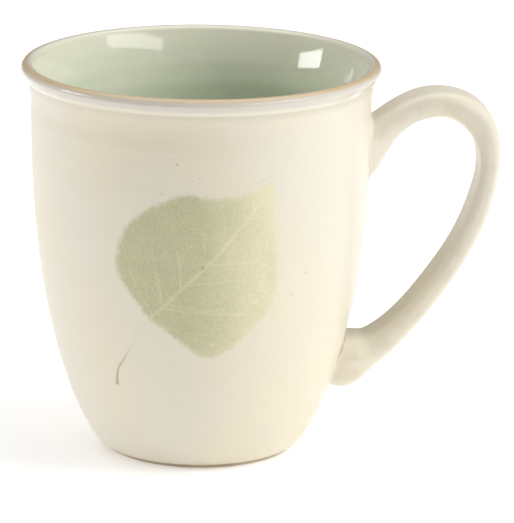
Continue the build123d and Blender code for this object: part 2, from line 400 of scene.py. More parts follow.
class Finish:
    """A material under construction: a principled shader with procedural inputs on Object coordinates."""

    def __init__(self, name, roughness, bump=0.0, **constants):
        self.material = bpy.data.materials.new(name)
        self.material.use_nodes = True
        self.nodes = self.material.node_tree.nodes
        self.links = self.material.node_tree.links
        self.shader = self.nodes["Principled BSDF"]
        self.place = self.nodes.new("ShaderNodeTexCoord").outputs["Object"]
        self.shader.inputs["Roughness"].default_value = roughness
        for label, value in constants.items():
            self.shader.inputs[label.replace("_", " ")].default_value = value

    def add(self, kind, links=(), **settings):
        node = self.nodes.new(kind)
        for label, value in settings.items():
            setattr(node, label, value)
        for label, value in dict(links).items():
            self.feed(node.inputs[label], value)
        return node

    def feed(self, socket, value):
        if isinstance(value, bpy.types.NodeSocket):
            self.links.new(value, socket)
        elif isinstance(socket.default_value, (float, int)):
            socket.default_value = value
        else:
            value = tuple(value)
            socket.default_value = value + (1.0,) * (len(socket.default_value) - len(value))

    def noise(self, grain_mm, detail=2.0, rough=0.5, stretch=None):
        """Soft noise whose features are about grain_mm across."""
        place = self.place
        if stretch:
            place = self.add("ShaderNodeMapping", {"Vector": place, "Scale": stretch}).outputs[0]
        return self.add("ShaderNodeTexNoise", {
            "Vector": place, "Scale": 1 / (grain_mm * MM), "Detail": detail, "Roughness": rough}).outputs[0]

    def cells(self, size_mm, feature="F1", output="Distance"):
        return self.add("ShaderNodeTexVoronoi", {
            "Vector": self.place, "Scale": 1 / (size_mm * MM)}, feature=feature).outputs[output]

    def sums(self, operation, a, b=0.0, c=0.0):
        return self.add("ShaderNodeMath", {0: a, 1: b, 2: c}, operation=operation).outputs[0]

    def between(self, value, low, high, first=0.0, last=1.0):
        """Value moved smoothly from low..high to first..last."""
        return self.add("ShaderNodeMapRange", {
            "Value": value, "From Min": low, "From Max": high, "To Min": first, "To Max": last},
            interpolation_type="SMOOTHSTEP").outputs[0]

    def blend(self, share, first, second, kind="MIX"):
        node = self.add("ShaderNodeMix", data_type="RGBA", blend_type=kind)
        self.feed(node.inputs[0], share)
        self.feed(node.inputs[6], first)
        self.feed(node.inputs[7], second)
        return node.outputs[2]

    def attribute(self, name):
        return self.add("ShaderNodeAttribute", attribute_name=name).outputs["Fac"]

    def height(self):
        """Height above the table in millimetres."""
        parts = self.add("ShaderNodeSeparateXYZ", {"Vector": self.place})
        return self.sums("DIVIDE", parts.outputs["Z"], MM)

    def radius(self):
        """Distance from the mug's axis in millimetres."""
        parts = self.add("ShaderNodeSeparateXYZ", {"Vector": self.place})
        squares = self.sums("MULTIPLY_ADD", parts.outputs["Y"], parts.outputs["Y"],
                            self.sums("MULTIPLY", parts.outputs["X"], parts.outputs["X"]))
        return self.sums("DIVIDE", self.sums("SQRT", squares), MM)

    def speckle(self, spacing_mm, share, size):
        """1 in small iron specks, in a share of the cells of a field with that spacing."""
        near = self.cells(spacing_mm)
        pick = self.add("ShaderNodeSeparateColor", {0: self.cells(spacing_mm, output="Color")}).outputs[0]
        chosen = self.sums("LESS_THAN", pick, share)
        return self.sums("MULTIPLY", chosen, self.between(near, size, size * 0.55))

    def finish(self, base, rough_low, rough_high, rough_noise, relief, strength):
        """Sets the colour, a varying roughness and a bump, and returns the material."""
        self.feed(self.shader.inputs["Base Color"], base)
        self.feed(self.shader.inputs["Roughness"], self.between(rough_noise, 0.3, 0.7, rough_low, rough_high))
        bump = self.add("ShaderNodeBump", {"Height": relief, "Strength": strength, "Distance": 0.1 * MM})
        self.feed(self.shader.inputs["Normal"], bump.outputs[0])
        return self.material


def cream_colour(finish):
    """The cream glaze with its soft mottling, and its iron specks as a second output."""
    tones = bpy.context.scene.mug_colours
    broad = finish.noise(34, 3, 0.55, (1, 1, 0.7))
    fine = finish.noise(5, 4, 0.6)
    base = finish.blend(finish.between(broad, 0.38, 0.66), tones.cream_cool, tones.cream_warm)
    base = finish.blend(0.45, base, tones.cream)
    base = finish.blend(finish.between(fine, 0.45, 0.8, 0.0, 0.18), base, tones.cream_cool)
    specks = finish.sums("MAXIMUM", finish.speckle(3.1, 0.04, 0.06), finish.speckle(1.3, 0.03, 0.09))
    return finish.blend(finish.sums("MULTIPLY", specks, 0.3), base, tones.speck), specks


def glaze_relief(finish, specks):
    """Orange-peel surface of a satin glaze, with its specks slightly sunk."""
    peel = finish.noise(1.6, 3, 0.55)
    broad = finish.noise(9, 2, 0.5)
    return finish.sums("MULTIPLY_ADD", specks, -0.6, finish.sums("MULTIPLY_ADD", broad, 1.6, peel))


def make_cream():
    finish = Finish("Cream_glaze", 0.4, Coat_Weight=0.15, Coat_Roughness=0.2)
    base, specks = cream_colour(finish)
    tones = bpy.context.scene.mug_colours
    height = finish.height()
    edge = finish.noise(3.2, 3, 0.6)
    foot = finish.between(finish.sums("MULTIPLY_ADD", edge, -1.0, height), 1.9, 0.3)
    base = finish.blend(finish.sums("MULTIPLY", foot, 0.2), base, tones.clay)
    # Painted shade under the lip: the top of the cream wall is blended towards the dark stem colour as a soft
    # line in the cove, partly the glaze breaking there
    lip_cove_shade_and_break = finish.between(finish.sums("MULTIPLY_ADD", edge, 0.8, height), LIP_TOP - 6.4, LIP_TOP - 4.0)
    base = finish.blend(finish.sums("MULTIPLY", lip_cove_shade_and_break, 0.22), base, tones.stem)
    return finish.finish(base, 0.32, 0.46, edge, glaze_relief(finish, specks), 0.12)


def make_handle_glaze():
    """Cream glaze that breaks to iron brown in the joins of the strap."""
    finish = Finish("Handle_glaze", 0.4, Coat_Weight=0.15, Coat_Roughness=0.2)
    base, specks = cream_colour(finish)
    tones = bpy.context.scene.mug_colours
    edge = finish.noise(1.1, 4, 0.6)
    seam = finish.sums("MULTIPLY", finish.attribute("seam"), finish.between(edge, 0.25, 0.6, 0.55, 1.15))
    base = finish.blend(finish.between(seam, 0.1, 0.75, 0.0, 0.5), base, tones.ochre)
    base = finish.blend(finish.between(seam, 0.55, 1.0, 0.0, 0.8), base, tones.stem)
    wear = finish.between(finish.noise(4, 3), 0.4, 0.7, 0.2, 1)
    worn = finish.sums("MULTIPLY", finish.attribute("ridge"), wear)
    base = finish.blend(finish.sums("MULTIPLY", worn, 0.2), base, tones.clay)
    return finish.finish(base, 0.32, 0.46, edge, glaze_relief(finish, specks), 0.12)


def make_celadon():
    """Green glaze that is pale where it runs thin at the lip and deep where it pools."""
    finish = Finish("Celadon_glaze", 0.06, IOR=1.5)
    tones = bpy.context.scene.mug_colours
    height = finish.sums("MULTIPLY_ADD", finish.noise(16, 3, 0.5), 14, finish.height())
    base = finish.blend(finish.between(height, LIP_TOP + 6, LIP_TOP - 24), tones.celadon_pale, tones.celadon)
    cloud = finish.between(finish.noise(7, 4, 0.6), 0.35, 0.75, 0.0, 0.25)
    base = finish.blend(cloud, base, tones.celadon_pale)
    specks = finish.speckle(2.6, 0.05, 0.09)
    base = finish.blend(finish.sums("MULTIPLY", specks, 0.5), base, tones.speck)
    relief = finish.sums("MULTIPLY_ADD", specks, -0.5, finish.noise(11, 2, 0.5))
    return finish.finish(base, 0.05, 0.10, finish.noise(20), relief, 0.05)


def lip_colour(finish):
    """Pale overlapped glaze outside, ochre over the crest of the lip, thin green inside."""
    tones = bpy.context.scene.mug_colours
    height, radius = finish.height(), finish.radius()
    waver = finish.noise(3.5, 3, 0.6)
    crest = LIP_RADIUS - (LIP_TOP - LIP_SIDE)
    inner = finish.between(radius, crest - 0.1, crest - 1.3)
    band_edge = finish.sums("MULTIPLY_ADD", waver, 0.9, height)
    outside = finish.blend(finish.between(band_edge, LIP_TOP - 3.3, LIP_TOP - 2.2), tones.cream, tones.band)
    base = finish.blend(inner, outside, tones.celadon_pale)
    outward = finish.sums("SUBTRACT", radius, crest + 0.75)
    over = finish.sums("ABSOLUTE", finish.sums("MULTIPLY_ADD", waver, 0.3, outward))
    high = finish.between(height, LIP_TOP - 1.6, LIP_TOP - 0.8)
    mask = finish.sums("MULTIPLY", finish.between(over, 1.0, 0.4), high)
    base = finish.blend(finish.sums("MULTIPLY", mask, 0.75), base, tones.ochre)
    specks = finish.speckle(1.5, 0.12, 0.10)
    return finish.blend(finish.sums("MULTIPLY", specks, 0.6), base, tones.speck), specks


def make_lip(name):
    finish = Finish(name, 0.12, Coat_Weight=0.3, Coat_Roughness=0.05)
    base, specks = lip_colour(finish)
    relief = finish.sums("MULTIPLY_ADD", specks, -0.6, finish.noise(2.2, 3, 0.5))
    return finish.finish(base, 0.10, 0.22, finish.noise(6), relief, 0.08)


def make_clay(name):
    """Bare fired clay: sandy, speckled, with the fine rings that the turning tool left."""
    finish = Finish(name, 0.85)
    tones = bpy.context.scene.mug_colours
    grain = finish.noise(0.5, 4, 0.65)
    patch = finish.noise(8, 3, 0.5)
    base = finish.blend(finish.between(patch, 0.3, 0.7, 0.0, 0.35), tones.clay, tones.cream_warm)
    base = finish.blend(finish.between(grain, 0.35, 0.7, 0.0, 0.3), base, tones.stem)
    specks = finish.speckle(1.1, 0.16, 0.18)
    base = finish.blend(finish.sums("MULTIPLY", specks, 0.8), base, tones.speck)
    rings = finish.sums("SINE", finish.sums("MULTIPLY", finish.radius(), 14.0))
    relief = finish.sums("MULTIPLY_ADD", rings, 0.25, finish.sums("MULTIPLY_ADD", grain, 1.5, specks))
    return finish.finish(base, 0.75, 0.92, grain, relief, 0.5)


def make_slip():
    finish = Finish("Fired_slip", 0.8)
    tones = bpy.context.scene.mug_colours
    smear = finish.noise(1.4, 4, 0.6, (1, 1, 0.4))
    base = finish.blend(finish.between(smear, 0.3, 0.7), tones.clay, tones.stem)
    return finish.finish(base, 0.7, 0.85, smear, smear, 0.6)


def make_print(name, ink, ink_pale, worn_edge):
    """A print in the glaze: colour that follows the mesh's own inset, tone and vein."""
    finish = Finish(name, 0.4, Coat_Weight=0.15, Coat_Roughness=0.2)
    base, specks = cream_colour(finish)
    inset, tone, vein = (finish.attribute(label) for label in ("inset", "tone", "vein"))
    fuzz = finish.sums("MULTIPLY_ADD", finish.noise(1.2, 5, 0.75), 3.4, -1.9)
    frayed = finish.sums("MULTIPLY_ADD", fuzz, worn_edge, inset)
    mask = finish.between(frayed, -0.1 - 0.8 * worn_edge, worn_edge)
    grain = finish.noise(0.6, 4, 0.7)
    patch = finish.noise(5.5, 4, 0.6)
    mesh = finish.between(finish.cells(1.1, feature="DISTANCE_TO_EDGE"), 0.16, 0.02)
    paler = finish.sums("MULTIPLY_ADD", grain, 0.45, tone)
    paler = finish.sums("MULTIPLY_ADD", patch, 0.55, paler)
    paler = finish.sums("MULTIPLY_ADD", mesh, 0.17, paler)
    paler = finish.sums("MULTIPLY_ADD", vein, 0.34, finish.sums("SUBTRACT", paler, 0.42))
    inked = finish.blend(finish.add("ShaderNodeClamp", {"Value": paler}).outputs[0], ink, ink_pale)
    base = finish.blend(finish.sums("MULTIPLY", mask, 0.97), base, inked)
    return finish.finish(base, 0.32, 0.46, grain, glaze_relief(finish, specks), 0.12)


def make_speck():
    finish = Finish("Iron_speck", 0.3)
    tones = bpy.context.scene.mug_colours
    melt = finish.noise(0.3, 3, 0.6)
    base = finish.blend(finish.between(melt, 0.3, 0.7), tones.stem, tones.cream_warm)
    return finish.finish(base, 0.25, 0.5, melt, melt, 0.2)


def make_table():
    finish = Finish("Pale_table", 0.6, Emission_Color=(1, 1, 1, 1), Emission_Strength=0.3)
    base = finish.blend(finish.between(finish.noise(60, 3), 0.3, 0.7), (0.93, 0.93, 0.93), (0.95, 0.95, 0.95))
    return finish.finish(base, 0.55, 0.65, finish.noise(30), finish.noise(2), 0.02)


# ---------------------------------------------------------------- half sections


def wall_heights(low, high, step=0.8):
    """Heights up the wall, closer together at the curved foot and lip."""
    spread = np.linspace(0, 1, max(int((high - low) / step), 4))
    heights = low + (high - low) * (spread - 0.11 * np.sin(2 * math.pi * spread))
    return np.clip(heights, low, high)


def skin_section(low, high, thickness, bulge):
    """Closed section of the outside glaze between two heights."""
    heights = wall_heights(low, high)
    outer = wall_radius(heights) + bulge(heights)
    inner = wall_radius(heights) - thickness
    points = [(r, z) for r, z in zip(outer, heights)]
    points += [(r, z) for r, z in zip(inner[::-1], heights[::-1])]
    return points


def inner_radius(heights):
    """Radius of the hollow: level with the wall, then opening smoothly until it runs into the lip's curve."""
    sizes = bpy.context.scene.mug_body
    half = LIP_TOP - LIP_SIDE
    lean = math.radians(sizes.lip_lean)
    end = LIP_RADIUS - half - half * math.cos(lean), LIP_SIDE + half * math.sin(lean)
    inset = 2 * sizes.glaze + sizes.clay
    start = end[1] - 2 * (end[0] - sizes.neck_radius + inset) / math.tan(lean)
    opening = np.clip((heights - start) / (end[1] - start), 0, 1)**2
    straight = wall_radius(np.minimum(heights, start)) - inset
    return straight + opening * (end[0] - straight)


def inner_section(gap, floor, corner):
    """Open section of the hollow, from the middle of its floor up to the lip's side."""
    heights = wall_heights(floor, LIP_SIDE, 0.7)
    wall = inner_radius(heights) + gap
    start = np.searchsorted(heights, floor + corner)
    radius_there = wall[start]
    slope = (wall[start + 1] - wall[start]) / (heights[start + 1] - heights[start])
    reach = radius_there - slope * corner - corner * 0.86
    floor_points = [(r, floor) for r in np.linspace(0, max(reach, 1), 14)]
    a, b = np.array([reach, floor]), np.array([radius_there, heights[start]])
    knee = np.array([radius_there - slope * corner, floor])
    curve = [tuple((1 - t)**2 * a + 2 * t * (1 - t) * knee + t * t * b) for t in np.linspace(0, 1, 22)[1:]]
    return floor_points + curve + list(zip(wall[start + 1:], heights[start + 1:]))


def no_bulge(heights):
    return 0 * heights


def band_bulge(heights):
    """The band swells just above its lower edge and fades to nothing at the lip's side."""
    sizes = bpy.context.scene.mug_body
    share = (heights - BAND_LINE) / (LIP_SIDE - BAND_LINE)
    return sizes.band_bulge * np.sin(math.pi * np.clip(share, 0, 1))**0.6


def lip_arc(gap, count=26):
    """Over the lip from its outer side to its inner side."""
    half = LIP_TOP - LIP_SIDE
    over = arc((LIP_RADIUS - half, LIP_SIDE), half - gap, 0, 180 - bpy.context.scene.mug_body.lip_lean, count)
    levels = np.linspace(over[-1][1], LIP_SIDE, 4)[1:]
    return over + list(zip(inner_radius(levels) + gap, levels))


def clay_section():
    """Open section of the clay: under the foot, up the outside, over the lip and down to the inside floor."""
    sizes = bpy.context.scene.mug_body
    foot = sizes.skirt_radius - sizes.foot_tuck
    ring = foot - sizes.foot_width
    round_in, round_out = 0.5, 0.6
    under = [(r, RECESS) for r in np.linspace(0, ring - 1.0, 10)]
    under += arc((ring - 0.6, RECESS - 0.6), 0.6, 90, 0, 6)
    under += arc((ring + round_in, round_in), round_in, 180, 270, 7)
    under += arc((foot - round_out, round_out), round_out, 270, 340, 7)
    heights = wall_heights(GLAZE_LINE, LIP_SIDE)
    outer = list(zip(wall_radius(heights) - sizes.glaze, heights))
    inner = inner_section(sizes.glaze, CLAY_FLOOR, sizes.floor_curve)
    return under + outer + lip_arc(sizes.glaze)[1:-1] + inner[::-1]


def liner_section():
    """Closed skin of green glaze, from the clay's side round to the drink's side."""
    sizes = bpy.context.scene.mug_body
    back = inner_section(sizes.glaze, CLAY_FLOOR, sizes.floor_curve)
    face = inner_section(0, CLAY_FLOOR + sizes.glaze, sizes.floor_curve)
    return face + back[::-1]


# ---------------------------------------------------------------- handle

# The strap's sections from the upper root to the lower one: out and up are shares of its reach past the
# neck and of the span between its roots, heading is in degrees, swell is a share of the root's.
# Their places are the same as in the frame, but the lower root is fuller than the frame's.
STRAP = (
    (0.091, 1.063, 24, 0.41), (0.272, 1.151, 29, 0.15), (0.437, 1.189, 10, 0.18),
    (0.634, 1.196, -14, 0.20), (0.866, 1.133, -45, 0.28), (0.984, 1.012, -76, 0.14),
    (0.998, 0.901, -91, 0.02), (0.936, 0.738, -106, 0), (0.803, 0.558, -117, 0),
    (0.572, 0.357, -124, 0.03), (0.307, 0.177, -132, 0.10), (0.140, 0.090, -140, 0.22),
    (-0.009, 0.032, -163, 0.56))
# Sizes in mm: how far the sections run on inside the wall, how far outside it the lower root is fully
# swollen, and how far outside it the strap starts to follow the frame's own
ROOT_SINK = 4.0
ROOT_STANDOFF = 4.5
CLEAR_OF_WALL = 0.6
# Degrees above level at which the strap leaves the upper root
UPPER_HEADING = 10
# Share of the strap's length over which it stops following the frame and swells into its lower root
LOWER_ROOT = 0.85, 0.90
# Rounds of smoothing over the shifts that lay the strap on the frame
SMOOTHING = 4
# Share of the strap's length searched for the place where it meets the wall, and the steps of the search
ROOT_SEARCH = 0.3
SEARCH_STEPS = 500
# Depths in mm at which the glaze's lower edge is sunk in the wall: its hidden edge and its foot
SUNK_EDGE = 0.25
SUNK_FOOT = 0.03
# Slip in mm: how far the strap's end stands off the glazed wall, the collar at the wall and at its thin
# edge, the gap between pieces, and how far under the glaze they stay
LUTING = 0.4
COLLAR = 1.6
COLLAR_EDGE = 0.25
SNUG = 0.02
UNDER_GLAZE = 0.10
COLLAR_RINGS = 14


class Strap:
    """The strap's centre line and sections, read at a place from 0 at its upper end to 1 at its lower."""

    def __init__(self):
        body, sizes = bpy.context.scene.mug_body, bpy.context.scene.mug_handle
        high = LIP_TOP - sizes.upper_drop
        low = sizes.lower_height
        reach = HANDLE_OUT - body.neck_radius - sizes.thickness / 2
        upper_wall, lower_wall = float(wall_radius(high)), float(wall_radius(low))
        rows = [(upper_wall - ROOT_SINK, high - ROOT_SINK / 4, UPPER_HEADING, 1),
                (upper_wall, high, UPPER_HEADING, 1)]
        rows += [(body.neck_radius + out * reach, low + up * (high - low), heading, swell)
                 for out, up, heading, swell in STRAP]
        rows += [(lower_wall + ROOT_STANDOFF, low, -180, 1),
                 (lower_wall - ROOT_SINK, low + ROOT_SINK / 8, -180, 1)]
        rows = np.array(rows, float)
        steps = np.hypot(*np.diff(rows[:, :2], axis=0).T)
        self.knots = np.concatenate([[0], np.cumsum(steps)]) / steps.sum()
        self.long = steps.sum()
        middle = (high + low) / 2
        swell = rows[:, 3] * np.where(rows[:, 1] > middle, sizes.upper_swell, sizes.lower_swell)
        self.values = [rows[:, 0], rows[:, 1], np.radians(rows[:, 2]), sizes.thickness + swell,
                       sizes.width + rows[:, 3] * sizes.spread]
        self.angle = np.linspace(0, 2 * math.pi, sizes.round_points, endpoint=False)
        self.places = np.linspace(0, 1, sizes.along_points)
        self.shift = np.zeros((len(self.places), len(self.angle), 3))
        self.shift = self.settle()

    def settle(self):
        """Small shifts that lay the strap on the frame's own glazed strap, fading out at the lower root."""
        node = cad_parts["handle_glaze"].data
        corners = [vertex.co / MM for vertex in node.vertices]
        tree = BVHTree.FromPolygons(corners, [polygon.vertices[:] for polygon in node.polygons])
        grid = self.points(self.places[:, None], self.angle, 0)
        probe = self.points(self.places[:, None], self.angle, -CLEAR_OF_WALL)
        clear = np.hypot(grid[..., 0], grid[..., 1]) - wall_radius(grid[..., 2]) > CLEAR_OF_WALL
        shift = np.zeros_like(grid)
        for j in range(len(self.angle)):
            rows = np.flatnonzero(clear[:, j])
            nearest = [np.array(tree.find_nearest(Vector(probe[i, j]))[0]) for i in rows]
            moves = np.array(nearest) - grid[rows, j]
            for k in range(3):
                shift[:, j, k] = np.interp(range(len(grid)), rows, moves[:, k])
        for _ in range(SMOOTHING):
            shift = (np.roll(shift, 1, 1) + 2 * shift + np.roll(shift, -1, 1)) / 4
            shift[1:-1] = (shift[:-2] + 2 * shift[1:-1] + shift[2:]) / 4
        first, last = LOWER_ROOT
        return shift * (1 - ease((self.places - first) / (last - first)))[:, None, None]

    def points(self, place, angle, skin):
        """Points at a place along the strap and an angle round it, a skin inside its surface, in mm."""
        x, z, heading, thick, wide = (through(self.knots, v, place) for v in self.values)
        power = 2 / bpy.context.scene.mug_handle.squareness
        across = np.sign(np.cos(angle)) * np.abs(np.cos(angle))**power * (wide / 2 - skin)
        crown = np.sign(np.sin(angle)) * np.abs(np.sin(angle))**power * (thick / 2 - skin)
        base = np.stack([x - np.sin(heading) * crown, across, z + np.cos(heading) * crown], -1)
        row = np.clip(place, 0, 1) * (len(self.places) - 1)
        low = np.minimum(row.astype(int), len(self.places) - 2)
        share = (row - low)[..., None]
        column = np.arange(len(angle))
        return base + (1 - share) * self.shift[low, column] + share * self.shift[low + 1, column]

    def outside(self, place, angle, skin):
        """How far outside the mug's wall those points are."""
        p = self.points(place, angle, skin)
        return np.hypot(p[..., 0], p[..., 1]) - wall_radius(p[..., 2])

    def crossing(self, angle, skin, from_top):
        """The place where each line along the strap meets the wall."""
        end = 0 if from_top else 1
        places = np.linspace(end, abs(end - ROOT_SEARCH), SEARCH_STEPS)
        grid = self.outside(places[:, None], angle[None, :], skin)
        first = np.argmax(grid > 0, axis=0)
        before, after = grid[first - 1, range(len(angle))], grid[first, range(len(angle))]
        share = before / (before - after)
        return places[first - 1] + share * (places[first] - places[first - 1])


def root_rings(strap, angle, place, skin, from_top):
    """Rings from sunk in the wall up a small fillet onto the strap, and the places where they end."""
    sizes = bpy.context.scene.mug_handle
    neck = bpy.context.scene.mug_body.neck_radius
    way = 1 if from_top else -1
    meet = strap.points(place, angle, skin)
    lift = place + way * sizes.fillet / strap.long
    lifted = strap.points(lift, angle, skin)
    flat = np.stack([np.arctan2(meet[:, 1], meet[:, 0]) * neck, meet[:, 2]], -1)
    along = np.roll(flat, -1, 0) - np.roll(flat, 1, 0)
    normal = np.stack([along[:, 1], -along[:, 0]], -1)
    normal /= np.maximum(np.linalg.norm(normal, axis=1), SMALL)[:, None]
    if np.sum(normal * (flat - flat.mean(0))) < 0:
        normal = -normal
    for _ in range(3):
        normal = (np.roll(normal, 1, 0) + 2 * normal + np.roll(normal, -1, 0)) / 4
    spread = flat + normal * sizes.fillet
    foot = on_wall(spread[:, 0], spread[:, 1], -SUNK_FOOT)
    sunk = on_wall(spread[:, 0], spread[:, 1], -SUNK_EDGE)
    rings = [sunk, foot]
    for t in np.linspace(0, 1, 9)[1:]:
        rings.append((1 - t)**2 * foot + 2 * t * (1 - t) * meet + t * t * lifted)
    return rings, lift


def strap_surface(skin):
    """Grid of rings over the whole strap, and how far each is from the nearer join."""
    sizes = bpy.context.scene.mug_handle
    strap = Strap()
    angle = strap.angle
    top = strap.crossing(angle, skin, True)
    bottom = strap.crossing(angle, skin, False)
    upper, upper_lift = root_rings(strap, angle, top, skin, True)
    lower, lower_lift = root_rings(strap, angle, bottom, skin, False)
    middle = []
    shares = np.linspace(0, 1, sizes.along_points)[1:-1]
    for share in shares:
        share = share - 0.08 * math.sin(2 * math.pi * share)
        middle.append(strap.points(upper_lift + share * (lower_lift - upper_lift), angle, skin))
    return upper + middle + lower[::-1], strap, angle


def make_handle_mesh(name):
    """The glaze on the strap: an outer face and an inner one a skin below it, joined in the wall."""
    sizes = bpy.context.scene.mug_handle
    outer, strap, angle = strap_surface(0)
    inner, _, _ = strap_surface(sizes.skin)
    rings = np.array(outer + [inner[-1]] + inner[::-1][1:])
    columns = sizes.round_points
    faces = grid_faces(len(rings), columns, True)
    last = (len(rings) - 1) * columns
    faces += [(last + j, last + (j + 1) % columns, (j + 1) % columns, j) for j in range(columns)]
    mesh = mesh_of(name, rings.reshape(-1, 3), faces)
    count = len(outer)
    seam = np.zeros((len(rings), columns))
    ridge = np.zeros((len(rings), columns))
    near_side = ease(0.5 - 0.5 * np.cos(angle) * 1.6)
    outer = np.array(outer)
    for end, weight in ((0, 0.55), (1, 1.0)):
        row = 3 if end == 0 else count - 4
        join = outer[row]
        if end:
            tall = ease((join[:, 2] - join[:, 2].min() - 5.0) / (np.ptp(join[:, 2]) - 7.0))
        else:
            tall = 0.35 + 0.65 * ease((join[:, 2].max() - join[:, 2]) / np.ptp(join[:, 2]))
        gap = np.linalg.norm(outer - join[None], axis=2)
        strength = weight * tall * (0.35 + 0.65 * near_side)
        seam[:count] = np.maximum(seam[:count], strength * (1 - ease(gap / 1.5)))
    ridge[:count] = (np.abs(np.cos(angle))**6)[None]
    float_attribute(mesh, "seam", seam)
    float_attribute(mesh, "ridge", ridge)
    return mesh


def seat_rings(ring, offset):
    """Rings that close the end of a form against the wall, from near their middle out to the given ring."""
    neck = bpy.context.scene.mug_body.neck_radius
    flat = np.stack([np.arctan2(ring[:, 1], ring[:, 0]) * neck, ring[:, 2]], -1)
    middle = flat.mean(0)
    spread = [middle + share * (flat - middle) for share in np.linspace(0.04, 1, 7)]
    return [on_wall(at[:, 0], at[:, 1], offset) for at in spread]


def capped_mesh(name, rings):
    """A closed form from a grid of rings, with a fan over each end."""
    rings = np.array(rings)
    columns = rings.shape[1]
    points = np.concatenate([rings.reshape(-1, 3), rings[[0, -1]].mean(1)])
    faces = grid_faces(len(rings), columns, True)
    base = (len(rings) - 1) * columns
    for j in range(columns):
        k = (j + 1) % columns
        faces += [(len(points) - 2, k, j), (len(points) - 1, base + j, base + k)]
    return mesh_of(name, points, faces)


def strap_ends(strap, from_top):
    """Rings of the slip round one end of the strap, and of the clay end that it holds."""
    sizes = bpy.context.scene.mug_handle
    angle, way = strap.angle, 1 if from_top else -1
    under = sizes.skin + UNDER_GLAZE
    edge = strap.knots[3 if from_top else -4]
    wall = strap.crossing(angle, under, from_top)
    face = strap.crossing(angle, under + COLLAR, from_top) + way * LUTING / strap.long
    shares = np.linspace(0, 1, COLLAR_RINGS)
    outer = [strap.points(wall + t * (edge - wall), angle, under) for t in shares]

    def core(gap):
        """Rings of the clay inside the collar, a gap within it."""
        depths = under + gap + COLLAR + shares * (COLLAR_EDGE - COLLAR)
        return [strap.points(face + t * (edge - face), angle, depth) for t, depth in zip(shares, depths)]

    inner, end = core(0), core(SNUG)
    slip = seat_rings(outer[0], -bpy.context.scene.mug_body.glaze) + outer + inner[::-1]
    slip += seat_rings(inner[0], LUTING)[::-1]
    return slip, seat_rings(end[0], LUTING + SNUG) + end


def strap_meshes():
    """Meshes of the clay strap, the upper slip joint and the lower one."""
    sizes = bpy.context.scene.mug_handle
    strap = Strap()
    upper, upper_end = strap_ends(strap, True)
    lower, lower_end = strap_ends(strap, False)
    places = np.linspace(strap.knots[3], strap.knots[-4], sizes.along_points)
    middle = [strap.points(np.full(len(strap.angle), place), strap.angle, sizes.skin + UNDER_GLAZE + SNUG)
              for place in places]
    clay = capped_mesh("Handle_strap", upper_end + middle + lower_end[::-1])
    return clay, capped_mesh("Upper_slip_joint", upper), capped_mesh("Lower_slip_joint", lower)


# ---------------------------------------------------------------- leaf print

# Outline of the blade: shares of its length along the midrib and of its half width across it
LEFT_EDGE = (
    (0, 0), (0.02, 0.22), (0.04, 0.52), (0.09, 0.74), (0.16, 0.85), (0.26, 0.94), (0.36, 0.94), (0.46, 0.90),
    (0.57, 0.80), (0.66, 0.66), (0.71, 0.47), (0.78, 0.30), (0.87, 0.16), (0.945, 0.08), (1, 0))
RIGHT_EDGE = (
    (0, 0), (0.03, -0.38), (0.045, -0.72), (0.085, -0.92), (0.165, -1.01), (0.27, -1.07), (0.39, -1.08),
    (0.50, -1.07), (0.58, -0.99), (0.67, -0.80), (0.77, -0.54), (0.88, -0.25), (0.945, -0.10), (1, 0))
# Veins: width in mm, strength, and points in millimetres along and across
VEINS = (
    (0.42, 1.0, ((-0.6, 0), (4.5, -0.6), (12.2, -1.1), (21, -1.7), (27.6, -1.7), (32, -1.5))),
    (0.30, 0.6, ((32, -1.5), (38, -1.2), (44, -0.6))),
    (0.30, 0.75, ((5.3, -0.6), (8.0, 2.4), (11.4, 7.0))),
    (0.26, 0.35, ((11.4, 7.0), (16, 12.5))),
    (0.30, 0.75, ((12.2, -1.1), (15.6, 2.2), (19.2, 6.4))),
    (0.26, 0.35, ((19.2, 6.4), (23.5, 12))),
    (0.26, 0.5, ((1.9, 0.2), (3.0, 3.2), (4.4, 7.6), (7.2, 13))),
    (0.26, 0.3, ((2.6, 2.2), (2.9, 6), (4.2, 10.5))),
    (0.26, 0.45, ((20.6, -1.6), (25.2, 2.6), (28.2, 7.0))),
    (0.24, 0.3, ((27.6, -1.7), (31.5, 1.6), (34.5, 4.6))),
    (0.30, 0.75, ((5.3, -0.9), (9.6, -6.6), (15.2, -13.6), (18.4, -17.6))),
    (0.26, 0.55, ((6.6, -0.9), (10.6, -6.4), (16.4, -13.4))),
    (0.28, 0.6, ((14.6, -1.5), (17.6, -4.2), (21.2, -7.6))), (0.24, 0.3, ((21.2, -7.6), (26.4, -12.4))),
    (0.26, 0.5, ((21.8, -1.8), (24.8, -4.6))), (0.22, 0.3, ((24.8, -4.6), (29.4, -9.2))),
    (0.26, 0.45, ((1.2, -1.8), (3.0, -7.2), (5.7, -13.9), (8.4, -18.5))),
    (0.22, 0.35, ((2.4, -4.6), (5.0, -9.6), (9.6, -15.6))))


def leaf_to_wall(along, across):
    """Turns the leaf's own directions into side round the wall and height, in mm."""
    sizes = bpy.context.scene.mug_leaf
    neck = bpy.context.scene.mug_body.neck_radius
    front = (sizes.turn - math.pi / 2) * neck
    side = sizes.side + along * math.cos(sizes.lean) - across * math.sin(sizes.lean)
    height = sizes.height + along * math.sin(sizes.lean) + across * math.cos(sizes.lean)
    return front + side, height


def distance_to_path(points, path):
    """Shortest distance from each point to a path of straight pieces."""
    best = np.full(len(points), 1e9)
    for a, b in zip(path[:-1], path[1:]):
        a, run = np.array(a, float), np.array(b, float) - np.array(a, float)
        share = np.clip(((points - a) @ run) / max(run @ run, SMALL), 0, 1)
        best = np.minimum(best, np.linalg.norm(points - (a + share[:, None] * run), axis=1))
    return best


